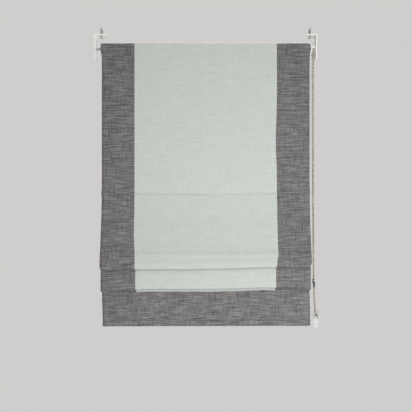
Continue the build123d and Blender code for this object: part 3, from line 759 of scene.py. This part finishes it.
def ball_chain_group():
    """Balls spaced evenly round a closed line, on a wire that joins them."""
    tree, given = node_group(
        "ball_chain",
        {
            "Balls": "NodeSocketInt",
            "Ball Radius": "NodeSocketFloat",
            "Wire Radius": "NodeSocketFloat",
            "Material": "NodeSocketMaterial",
        },
    )
    line = add_node(tree, "GeometryNodeMeshToCurve", inputs={0: given.outputs["Geometry"]})
    spaced = add_node(
        tree,
        "GeometryNodeResampleCurve",
        inputs={"Curve": line.outputs[0], "Count": given.outputs["Balls"]},
    )
    ball = add_node(
        tree,
        "GeometryNodeMeshUVSphere",
        inputs={"Segments": 12, "Rings": 7, "Radius": given.outputs["Ball Radius"]},
    )
    balls = add_node(
        tree,
        "GeometryNodeInstanceOnPoints",
        inputs={"Points": spaced.outputs[0], "Instance": ball.outputs[0]},
    )
    ring = add_node(
        tree,
        "GeometryNodeCurvePrimitiveCircle",
        inputs={"Resolution": 6, "Radius": given.outputs["Wire Radius"]},
    )
    wire = add_node(
        tree, "GeometryNodeCurveToMesh", inputs={0: spaced.outputs[0], "Profile Curve": ring.outputs[0]}
    )
    both = add_node(tree, "GeometryNodeJoinGeometry", inputs={0: balls.outputs[0]})
    tree.links.new(wire.outputs[0], both.inputs[0])
    return close_group(tree, given, both.outputs[0])


def stitch_group():
    """Short threads laid end to end along a line, each slightly different."""
    tree, given = node_group(
        "stitches",
        {
            "Pitch": "NodeSocketFloat",
            "Length": "NodeSocketFloat",
            "Thread Radius": "NodeSocketFloat",
            "Material": "NodeSocketMaterial",
        },
    )
    line = add_node(tree, "GeometryNodeMeshToCurve", inputs={0: given.outputs["Geometry"]})
    spaced = add_node(
        tree,
        "GeometryNodeResampleCurve",
        {"mode": "LENGTH"},
        {"Curve": line.outputs[0], "Length": given.outputs["Pitch"]},
    )
    way = add_node(tree, "GeometryNodeInputTangent")
    turned = add_node(tree, "FunctionNodeAlignRotationToVector", {"axis": "X"}, {"Vector": way.outputs[0]})
    size = add_node(
        tree,
        "ShaderNodeCombineXYZ",
        inputs={
            "X": given.outputs["Length"],
            "Y": given.outputs["Thread Radius"],
            "Z": given.outputs["Thread Radius"],
        },
    )
    uneven = add_node(
        tree, "FunctionNodeRandomValue", {"data_type": "FLOAT"}, {2: 0.85, 3: 1.1, "Seed": 5}
    )
    scaled = add_node(
        tree,
        "ShaderNodeVectorMath",
        {"operation": "SCALE"},
        {0: size.outputs[0], "Scale": uneven.outputs[1]},
    )
    thread = add_node(tree, "GeometryNodeMeshIcoSphere", inputs={"Radius": 1.0, "Subdivisions": 1})
    laid = add_node(
        tree,
        "GeometryNodeInstanceOnPoints",
        inputs={
            "Points": spaced.outputs[0],
            "Instance": thread.outputs[0],
            "Rotation": turned.outputs[0],
            "Scale": scaled.outputs[0],
        },
    )
    return close_group(tree, given, laid.outputs[0])


def winding_group():
    """A cord wound in touching turns round a drum."""
    tree, given = node_group(
        "winding",
        {
            "Turns": "NodeSocketFloat",
            "Drum Radius": "NodeSocketFloat",
            "Width": "NodeSocketFloat",
            "Cord Radius": "NodeSocketFloat",
            "Material": "NodeSocketMaterial",
        },
    )
    spiral = add_node(
        tree,
        "GeometryNodeCurveSpiral",
        inputs={
            "Resolution": 40,
            "Rotations": given.outputs["Turns"],
            "Start Radius": given.outputs["Drum Radius"],
            "End Radius": given.outputs["Drum Radius"],
            "Height": given.outputs["Width"],
        },
    )
    ring = add_node(
        tree,
        "GeometryNodeCurvePrimitiveCircle",
        inputs={"Resolution": 8, "Radius": given.outputs["Cord Radius"]},
    )
    cord = add_node(
        tree,
        "GeometryNodeCurveToMesh",
        inputs={0: spiral.outputs[0], "Profile Curve": ring.outputs[0], "Fill Caps": True},
    )
    return close_group(tree, given, cord.outputs[0])


def grown(name, group, line, values):
    """Runs a geometry tree on a line of points and keeps the result as a plain mesh object."""
    mesh = bpy.data.meshes.new(name + "_line")
    points = [tuple(p) for p in line["points"]]
    edges = [(i, i + 1) for i in range(len(points) - 1)]
    if line.get("closed"):
        edges.append((len(points) - 1, 0))
    mesh.from_pydata(points, edges, [])
    holder = bpy.data.objects.new(name + "_line", mesh)
    bpy.context.scene.collection.objects.link(holder)
    modifier = holder.modifiers.new(group.name, "NODES")
    modifier.node_group = group
    for item in group.interface.items_tree:
        if item.in_out == "INPUT" and item.name in values:
            modifier[item.identifier] = values[item.name]
    holder.update_tag()
    made = bpy.data.meshes.new_from_object(holder.evaluated_get(bpy.context.evaluated_depsgraph_get()))
    holder.modifiers.remove(modifier)
    bpy.data.objects.remove(holder)
    made.name = name
    obj = bpy.data.objects.new(name, made)
    bpy.context.scene.collection.objects.link(obj)
    if len(made.polygons) == 0:
        raise RuntimeError(f"{name} came out empty")
    return obj


def paint(material, *nodes):
    """Gives CAD nodes their finish."""
    for name in nodes:
        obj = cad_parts[name]
        if not obj.material_slots:
            obj.data.materials.append(None)
        for slot in obj.material_slots:
            slot.link = "OBJECT"
            slot.material = material


# Settings that a user would change


def colour_setting(name, description, code):
    """A colour that a user may pick, with its default given as an sRGB hex value."""
    return FloatVectorProperty(
        name=name, description=description, subtype="COLOR", size=3, min=0, max=1, default=linear(code)[:3]
    )


class RomanBlindCloth(bpy.types.PropertyGroup):
    """Colours and hang of the cloth."""

    pale_colour: colour_setting("Centre panel", "Colour of the centre panel", "#C6CBC6")
    border_colour: colour_setting("Borders", "Colour of the side and bottom borders", "#69696B")
    lining_colour: colour_setting("Lining", "Colour of the lining", "#E3DFD1")
    thread_spacing: FloatProperty(
        name="Thread spacing",
        description="Width of one thread as drawn, in millimetres",
        default=1.7,
        min=0.3,
        max=6.0,
    )
    wave_depth: FloatProperty(
        name="Wave depth",
        description="How strongly the cloth waves and creases, 1 as photographed",
        default=1.0,
        min=0.0,
        max=2.0,
    )


class RomanBlindFittings(bpy.types.PropertyGroup):
    """Sizes of the chain, cords and stitches."""

    ball_radius: FloatProperty(
        name="Ball radius",
        description="Radius of the chain's balls",
        unit="LENGTH",
        default=0.00225,
        min=0.001,
        max=0.003,
    )
    balls: IntProperty(
        name="Balls", description="Number of balls in the chain's loop", default=BEADS, min=10
    )
    cord_radius: FloatProperty(
        name="Cord radius",
        description="Radius of the lift cords",
        unit="LENGTH",
        default=0.0007,
        min=0.0003,
        max=0.001,
    )
    stitch_pitch: FloatProperty(
        name="Stitch pitch",
        description="Distance from one stitch to the next",
        unit="LENGTH",
        default=0.0042,
        min=0.001,
        max=0.01,
    )


class RomanBlindStage(bpy.types.PropertyGroup):
    """Floor and light."""

    floor_colour: colour_setting("Floor", "Colour of the floor", "#F2F0ED")
    key_power: FloatProperty(
        name="Key light", description="Power of the front light, in watts", default=6.55, min=0.0
    )
    fill_power: FloatProperty(
        name="Fill light", description="Power of the low front light, in watts", default=9.0, min=0.0
    )
    front_strength: FloatProperty(
        name="Front surroundings",
        description="Strength of the soft light from the front",
        default=0.40,
        min=0.0,
    )
    back_strength: FloatProperty(
        name="Back surroundings",
        description="Strength of the soft light from behind",
        default=0.68,
        min=0.0,
    )


# The pieces


class PieceOperator:
    """What every piece's operator has in common."""

    bl_options = {"REGISTER"}


class ROMANBLIND_OT_upper_cloth(PieceOperator, bpy.types.Operator):
    """Hang the cloth from the headrail down to the upper fold"""

    bl_idname = "roman_blind.upper_cloth"
    bl_label = "Upper cloth"

    def execute(self, context):
        depth = context.scene.roman_blind_cloth.wave_depth
        rows = rounded_rows(HANGING)
        for piece, node, material, section, width in cloth_sections():
            obj = swept_cloth(f"upper_{piece}", rows, section, finish(material), depth)
            bend_with_stack(obj)
            stand_in(f"upper_{node}")
        return {"FINISHED"}


class ROMANBLIND_OT_lower_cloth(PieceOperator, bpy.types.Operator):
    """Fold the cloth over the rods and down to the bottom border"""

    bl_idname = "roman_blind.lower_cloth"
    bl_label = "Lower cloth"

    def execute(self, context):
        depth = context.scene.roman_blind_cloth.wave_depth
        rows = rounded_rows(STACKED + [(0, SEAM_DROP, 0)])
        lining_rows = rounded_rows(STACKED + [(0, LINING_END_DROP, 0)])
        pieces = []
        for piece, node, material, section, width in cloth_sections():
            piece_rows = lining_rows if node == "lining" else rows
            pieces.append((f"lower_{piece}", f"lower_{node}", material, section, width, piece_rows))
        hem = flat_ribbon(-HALF_CLOTH, HALF_CLOTH, 0, CLOTH)
        hem_rows = rounded_rows(HEM, 2.5)
        pieces.append(
            ("bottom_band", "bottom_border", "charcoal_slub_linen", hem, 2 * HALF_CLOTH, hem_rows)
        )
        for piece, node, material, section, width, piece_rows in pieces:
            obj = swept_cloth(piece, piece_rows, section, finish(material), depth)
            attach(obj, "lifted_stack")
            stand_in(node)
        return {"FINISHED"}


class ROMANBLIND_OT_stitches(PieceOperator, bpy.types.Operator):
    """Sew the hem and the sides of the lining"""

    bl_idname = "roman_blind.stitches"
    bl_label = "Stitches"

    def execute(self, context):
        depth = context.scene.roman_blind_cloth.wave_depth
        pitch = context.scene.roman_blind_fittings.stitch_pitch
        group = stitch_group()
        across_hem = [i * 2.0 for i in range(-151, 152)]
        out = Vector((1, 0))
        seams = []
        for name, place, way, distance in (
            ("hem_stitches_front", Vector((0, HEM_STITCH_DROP)), out, -0.1),
            ("hem_stitches_back", Vector((-1.65, HEM_STITCH_DROP - 1.5)), -out, -0.1),
        ):
            points = [draped_place(x, place, way, distance, depth) for x in across_hem]
            seams.append((name, points, "sewing_thread", pitch, HEM_STITCH, "charcoal_linen", False))
        for side, sign in (("left", -1), ("right", 1)):
            x = sign * (HALF_LINING - 1.5)
            for part, rows in (("upper", rounded_rows(HANGING)), ("lower", rounded_rows(STACKED))):
                kept = rows[6:-12] if part == "upper" else rows[14:]
                points = [draped_place(x, place, way, LINING_BACK + 0.1, depth) for place, way, _ in kept]
                seam = f"{part}_{side}_lining_stitches"
                bends = part == "upper"
                seams.append(
                    (seam, points, "pale_sewing_thread", 3 * pitch, LINING_STITCH, "lining", bends)
                )
        for name, points, material, step, length, slot, bends in seams:
            values = {
                "Pitch": step,
                "Length": length * MM,
                "Thread Radius": THREAD_RADIUS * MM,
                "Material": finish(material),
            }
            obj = grown(name, group, {"points": points}, values)
            if bends:
                bend_with_stack(obj)
            else:
                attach(obj, "lifted_stack")
        return {"FINISHED"}


class ROMANBLIND_OT_rod_sleeves(PieceOperator, bpy.types.Operator):
    """Make the three fabric sleeves that hold the rods"""

    bl_idname = "roman_blind.rod_sleeves"
    bl_label = "Rod sleeves"

    def execute(self, context):
        sides = 20
        inner = 2.2
        wall = 0.5
        for rod, (y, z) in ROD_PLACES.items():
            verts = []
            xs = [-HALF_LINING + 2 * HALF_LINING * i / 190 for i in range(191)]
            for x in xs:
                for radius in (inner + wall, inner):
                    for i in range(sides):
                        turn = 2 * math.pi * i / sides
                        # Each stitch of the sleeve draws the cloth in a little
                        ripple = 0.10 * math.sin(x * 2 * math.pi / 12.6) * max(0.0, math.sin(turn))
                        reach = radius + (ripple if radius > inner else 0.0)
                        verts.append(
                            (x * MM, (y + reach * math.cos(turn)) * MM, (z + reach * math.sin(turn)) * MM)
                        )
            faces = []
            ring = 2 * sides
            for r in range(len(xs) - 1):
                for i in range(sides):
                    j = (i + 1) % sides
                    a = r * ring
                    b = a + ring
                    faces.append((a + i, a + j, b + j, b + i))
                    faces.append((a + sides + j, a + sides + i, b + sides + i, b + sides + j))
            for start in (0, (len(xs) - 1) * ring):
                for i in range(sides):
                    j = (i + 1) % sides
                    faces.append((start + i, start + sides + i, start + sides + j, start + j))
            obj = new_object(f"{rod}_rod_sleeve", verts, faces, finish("ivory_lining_sateen"))
            finish_mesh(obj)
            weave = obj.data.uv_layers.new(name="weave")
            for loop in obj.data.loops:
                row, column = divmod(loop.vertex_index, ring)
                weave.data[loop.index].uv = (
                    xs[row] * MM, (column % sides) / sides * 2 * math.pi * inner * MM
                )
            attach(obj, "top_rod_set" if rod == "top" else "lifted_stack")
            stand_in(f"{rod}_rod_pocket")
        return {"FINISHED"}


class ROMANBLIND_OT_tapes(PieceOperator, bpy.types.Operator):
    """Stick the hook tape to the headrail and the loop tape to the cloth"""

    bl_idname = "roman_blind.tapes"
    bl_label = "Tapes"

    def execute(self, context):
        for node in ("hook_tape", "loop_tape"):
            low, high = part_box(node)
            rows = []
            steps = 10
            for i in range(steps + 1):
                down = TOP_Z - (high[2] + (low[2] - high[2]) * i / steps) / MM
                rows.append((Vector((FRONT_Y - low[1] / MM, down)), Vector((1, 0)), down))
            thick = (high[1] - low[1]) / MM
            ribbon = flat_ribbon(low[0] / MM, high[0] / MM, 0, thick, 6.0)
            obj = swept_cloth(f"{node}_strip", rows, ribbon, finish("hook_and_loop_tape"), 0.0)
            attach(obj, "frame")
            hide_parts(node)
        return {"FINISHED"}


class ROMANBLIND_OT_cords(PieceOperator, bpy.types.Operator):
    """Run the three lift cords and wind their spare length on the drums"""

    bl_idname = "roman_blind.cords"
    bl_label = "Lift cords"

    def execute(self, context):
        radius = context.scene.roman_blind_fittings.cord_radius
        group = winding_group()
        top = SHAFT_Z * MM
        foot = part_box("middle_lift_cord")[0][2]
        # The cord leaves its drum straight down, six cord widths before the rest of its run
        leaving = top - 12 * radius
        sides = 10
        for side, x in CORD_X.items():
            route = [Vector((x * MM, CORD_Y * MM, z)) for z in (top, leaving, foot)]
            path = smooth_route(route, 45)
            steps = len(path) - 1
            verts = []
            for place in path:
                for i in range(sides):
                    turn = 2 * math.pi * i / sides
                    verts.append(place + Vector((math.cos(turn), math.sin(turn), 0)) * radius)
            faces = [tuple(range(sides)), tuple(steps * sides + i for i in range(sides))]
            for r in range(steps):
                for i in range(sides):
                    j = (i + 1) % sides
                    a = r * sides
                    faces.append((a + i, a + j, a + sides + j, a + sides + i))
            obj = new_object(f"{side}_braided_cord", verts, faces, finish("braided_polyester"))
            finish_mesh(obj)
            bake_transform(obj)
            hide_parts(f"{side}_lift_cord")
            low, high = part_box(f"{side}_cord_turns")
            values = {
                "Turns": float(CORD_TURNS),
                "Drum Radius": (high[1] - low[1]) / 2 - radius,
                "Width": high[0] - low[0] - 2 * radius,
                "Cord Radius": radius,
                "Material": finish("braided_polyester"),
            }
            wound = grown(f"{side}_wound_cord", group, {"points": [(0, 0, 0)]}, values)
            for vertex in wound.data.vertices:
                across_drum, round_y, round_z = vertex.co.z, vertex.co.x, vertex.co.y
                vertex.co = (low[0] + radius + across_drum, round_y, top + round_z)
            finish_mesh(wound)
            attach(wound, "drive")
            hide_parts(f"{side}_cord_turns")
        return {"FINISHED"}


def strand_place(share, side):
    """A place on a hanging strand of the chain, at a share of the way down."""
    x = WHEEL_X + (CHAIN_FOOT_X - WHEEL_X) * (0.4 * share**3 + 0.6 * share**24)
    y = side * (WHEEL_RADIUS + (CHAIN_FOOT_RADIUS - WHEEL_RADIUS) * share)
    return Vector((x, y, SHAFT_Z + (CHAIN_FOOT_Z - SHAFT_Z) * share))


def chain_loop():
    """The chain's line, once round from half a ball's pitch past the back of the wheel."""
    steps = 400
    line = []
    for i in range(121):
        turn = math.pi * (1 - i / 120)
        line.append(
            Vector((WHEEL_X, -WHEEL_RADIUS * math.cos(turn), SHAFT_Z + WHEEL_RADIUS * math.sin(turn)))
        )
    line += [strand_place(i / steps, -1) for i in range(1, steps)]
    for i in range(41):
        turn = -math.pi * i / 40
        y = -CHAIN_FOOT_RADIUS * math.cos(turn)
        line.append(Vector((CHAIN_FOOT_X, y, CHAIN_FOOT_Z + CHAIN_FOOT_RADIUS * math.sin(turn))))
    line += [strand_place(1 - i / steps, 1) for i in range(1, steps)]
    whole = sum((b - a).length for a, b in zip(line, line[1:] + line[:1]))
    spare = whole / BEADS / 2
    while (line[1] - line[0]).length < spare:
        spare -= (line[1] - line[0]).length
        line.append(line.pop(0))
    start = line[0].lerp(line[1], spare / (line[1] - line[0]).length)
    line.append(line.pop(0))
    return [start * MM] + [place * MM for place in line]


class ROMANBLIND_OT_chain(PieceOperator, bpy.types.Operator):
    """String the ball chain over the wheel and round the safety clip's post"""

    bl_idname = "roman_blind.chain"
    bl_label = "Ball chain"

    def execute(self, context):
        fittings = context.scene.roman_blind_fittings
        values = {
            "Balls": fittings.balls,
            "Ball Radius": fittings.ball_radius,
            "Wire Radius": CHAIN_WIRE_RADIUS * MM,
            "Material": finish("tumbled_brass"),
        }
        obj = grown("ball_chain", ball_chain_group(), {"points": chain_loop(), "closed": True}, values)
        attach(obj, "frame")
        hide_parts("bead_chain")
        return {"FINISHED"}


class ROMANBLIND_OT_fittings(PieceOperator, bpy.types.Operator):
    """Give the headrail, brackets, drive and rods their finishes"""

    bl_idname = "roman_blind.fittings"
    bl_label = "Finishes of the fittings"

    def execute(self, context):
        paint(finish("white_powder_coat"), "headrail", "left_end_bracket", "right_end_bracket")
        paint(finish("zinc_plated_steel"), "bracket_screws", "idle_pin")
        drive = ("idle_end_cap", "drive_housing", "drive_cover", "chain_wheel")
        spools = [f"{side}_{part}" for side in CORD_X for part in ("spool_cradle", "cord_spool")]
        rings = [f"{rod}_cord_rings" for rod in ROD_PLACES]
        paint(finish("white_moulded_acetal"), *drive, *spools, *rings, "cord_connectors")
        paint(finish("oiled_spring_steel"), "clutch_spring")
        paint(finish("extruded_aluminium"), "drive_shaft", "hem_bar")
        paint(finish("pultruded_fibreglass"), "top_rod", "middle_rod", "bottom_rod")
        paint(finish("grey_moulded_nylon"), "chain_connector", "chain_stop")
        paint(finish("clear_polycarbonate"), "chain_safety_clip")
        return {"FINISHED"}


class ROMANBLIND_OT_stage(PieceOperator, bpy.types.Operator):
    """Set the floor, the light and the camera"""

    bl_idname = "roman_blind.stage"
    bl_label = "Stage"

    def execute(self, context):
        scene = context.scene
        stage = scene.roman_blind_stage
        rim = []
        for i in range(96):
            turn = i * math.pi / 48
            rim.append((FLOOR_RADIUS * math.cos(turn), FLOOR_RADIUS * math.sin(turn), FLOOR_Z))
        floor = new_object("floor", rim, [tuple(range(96))], None)
        material, tree, shader = new_material("plain_floor_paint")
        shader.inputs["Base Color"].default_value = tuple(stage.floor_colour) + (1.0,)
        shader.inputs["Roughness"].default_value = 0.9
        floor.data.materials.append(material)
        world = bpy.data.worlds.new("soft_surroundings")
        world.use_nodes = True
        sky = world.node_tree
        way = add_node(
            sky,
            "ShaderNodeSeparateXYZ",
            inputs={0: add_node(sky, "ShaderNodeTexCoord").outputs["Generated"]},
        )
        # Brighter behind the blind than in front of it, as in a room seen against its window
        strength = add_node(
            sky,
            "ShaderNodeMapRange",
            {"interpolation_type": "SMOOTHSTEP"},
            {0: way.outputs[1], 1: -0.6, 2: 0.6, 3: stage.front_strength, 4: stage.back_strength},
        )
        background = sky.nodes["Background"]
        background.inputs["Color"].default_value = linear("#F6F4F2")
        sky.links.new(strength.outputs[0], background.inputs["Strength"])
        scene.world = world
        aim = Vector((0.0, 0.0, -0.5))
        for name, power, size, place, colour in (
            ("key_light", stage.key_power, 0.45, Vector((0.4, -2.3, -0.25)), "#FFFFFF"),
            ("fill_light", stage.fill_power, 0.8, Vector((0.85, -1.8, -1.1)), "#FDFEFF"),
        ):
            light = bpy.data.lights.new(name, "AREA")
            light.energy = power
            light.size = size
            light.spread = math.radians(120)
            light.color = linear(colour)[:3]
            lamp = bpy.data.objects.new(name, light)
            lamp.location = place
            lamp.visible_camera = False
            lamp.rotation_euler = (aim - place).to_track_quat("-Z", "Y").to_euler()
            scene.collection.objects.link(lamp)
        lens = bpy.data.cameras.new("photo_camera")
        lens.lens = CAMERA_LENS
        lens.sensor_width = 36.0
        camera = bpy.data.objects.new("photo_camera", lens)
        camera.location = CAMERA_PLACE
        camera.rotation_euler = (math.radians(90), 0, 0)
        scene.collection.objects.link(camera)
        scene.camera = camera
        scene.view_settings.view_transform = "Standard"
        return {"FINISHED"}


PIECES = (
    ROMANBLIND_OT_stage,
    ROMANBLIND_OT_cords,
    ROMANBLIND_OT_upper_cloth,
    ROMANBLIND_OT_lower_cloth,
    ROMANBLIND_OT_stitches,
    ROMANBLIND_OT_rod_sleeves,
    ROMANBLIND_OT_tapes,
    ROMANBLIND_OT_chain,
    ROMANBLIND_OT_fittings,
)


class ROMANBLIND_PT_pieces(bpy.types.Panel):
    """Lists the blind's settings and pieces"""

    bl_label = "Roman blind"
    bl_idname = "ROMANBLIND_PT_pieces"
    bl_space_type = "VIEW_3D"
    bl_region_type = "UI"
    bl_category = "Roman blind"

    def draw(self, context):
        layout = self.layout
        for group in (
            context.scene.roman_blind_cloth,
            context.scene.roman_blind_fittings,
            context.scene.roman_blind_stage,
        ):
            box = layout.box()
            for key in group.bl_rna.properties.keys():
                if key not in ("rna_type", "name"):
                    box.prop(group, key)
        for piece in PIECES:
            layout.operator(piece.bl_idname)


CLASSES = (RomanBlindCloth, RomanBlindFittings, RomanBlindStage, *PIECES, ROMANBLIND_PT_pieces)


def register():
    """Adds the settings, operators and panel."""
    for made in CLASSES:
        bpy.utils.register_class(made)
    bpy.types.Scene.roman_blind_cloth = PointerProperty(type=RomanBlindCloth)
    bpy.types.Scene.roman_blind_fittings = PointerProperty(type=RomanBlindFittings)
    bpy.types.Scene.roman_blind_stage = PointerProperty(type=RomanBlindStage)


def unregister():
    """Takes the settings, operators and panel away again."""
    del bpy.types.Scene.roman_blind_stage
    del bpy.types.Scene.roman_blind_fittings
    del bpy.types.Scene.roman_blind_cloth
    for made in reversed(CLASSES):
        bpy.utils.unregister_class(made)


def main():
    register()
    for piece in PIECES:
        group, action = piece.bl_idname.split(".")
        if getattr(getattr(bpy.ops, group), action)() != {"FINISHED"}:
            raise RuntimeError(f"{piece.bl_label} didn't finish")


if __name__ == "__main__":
    main()
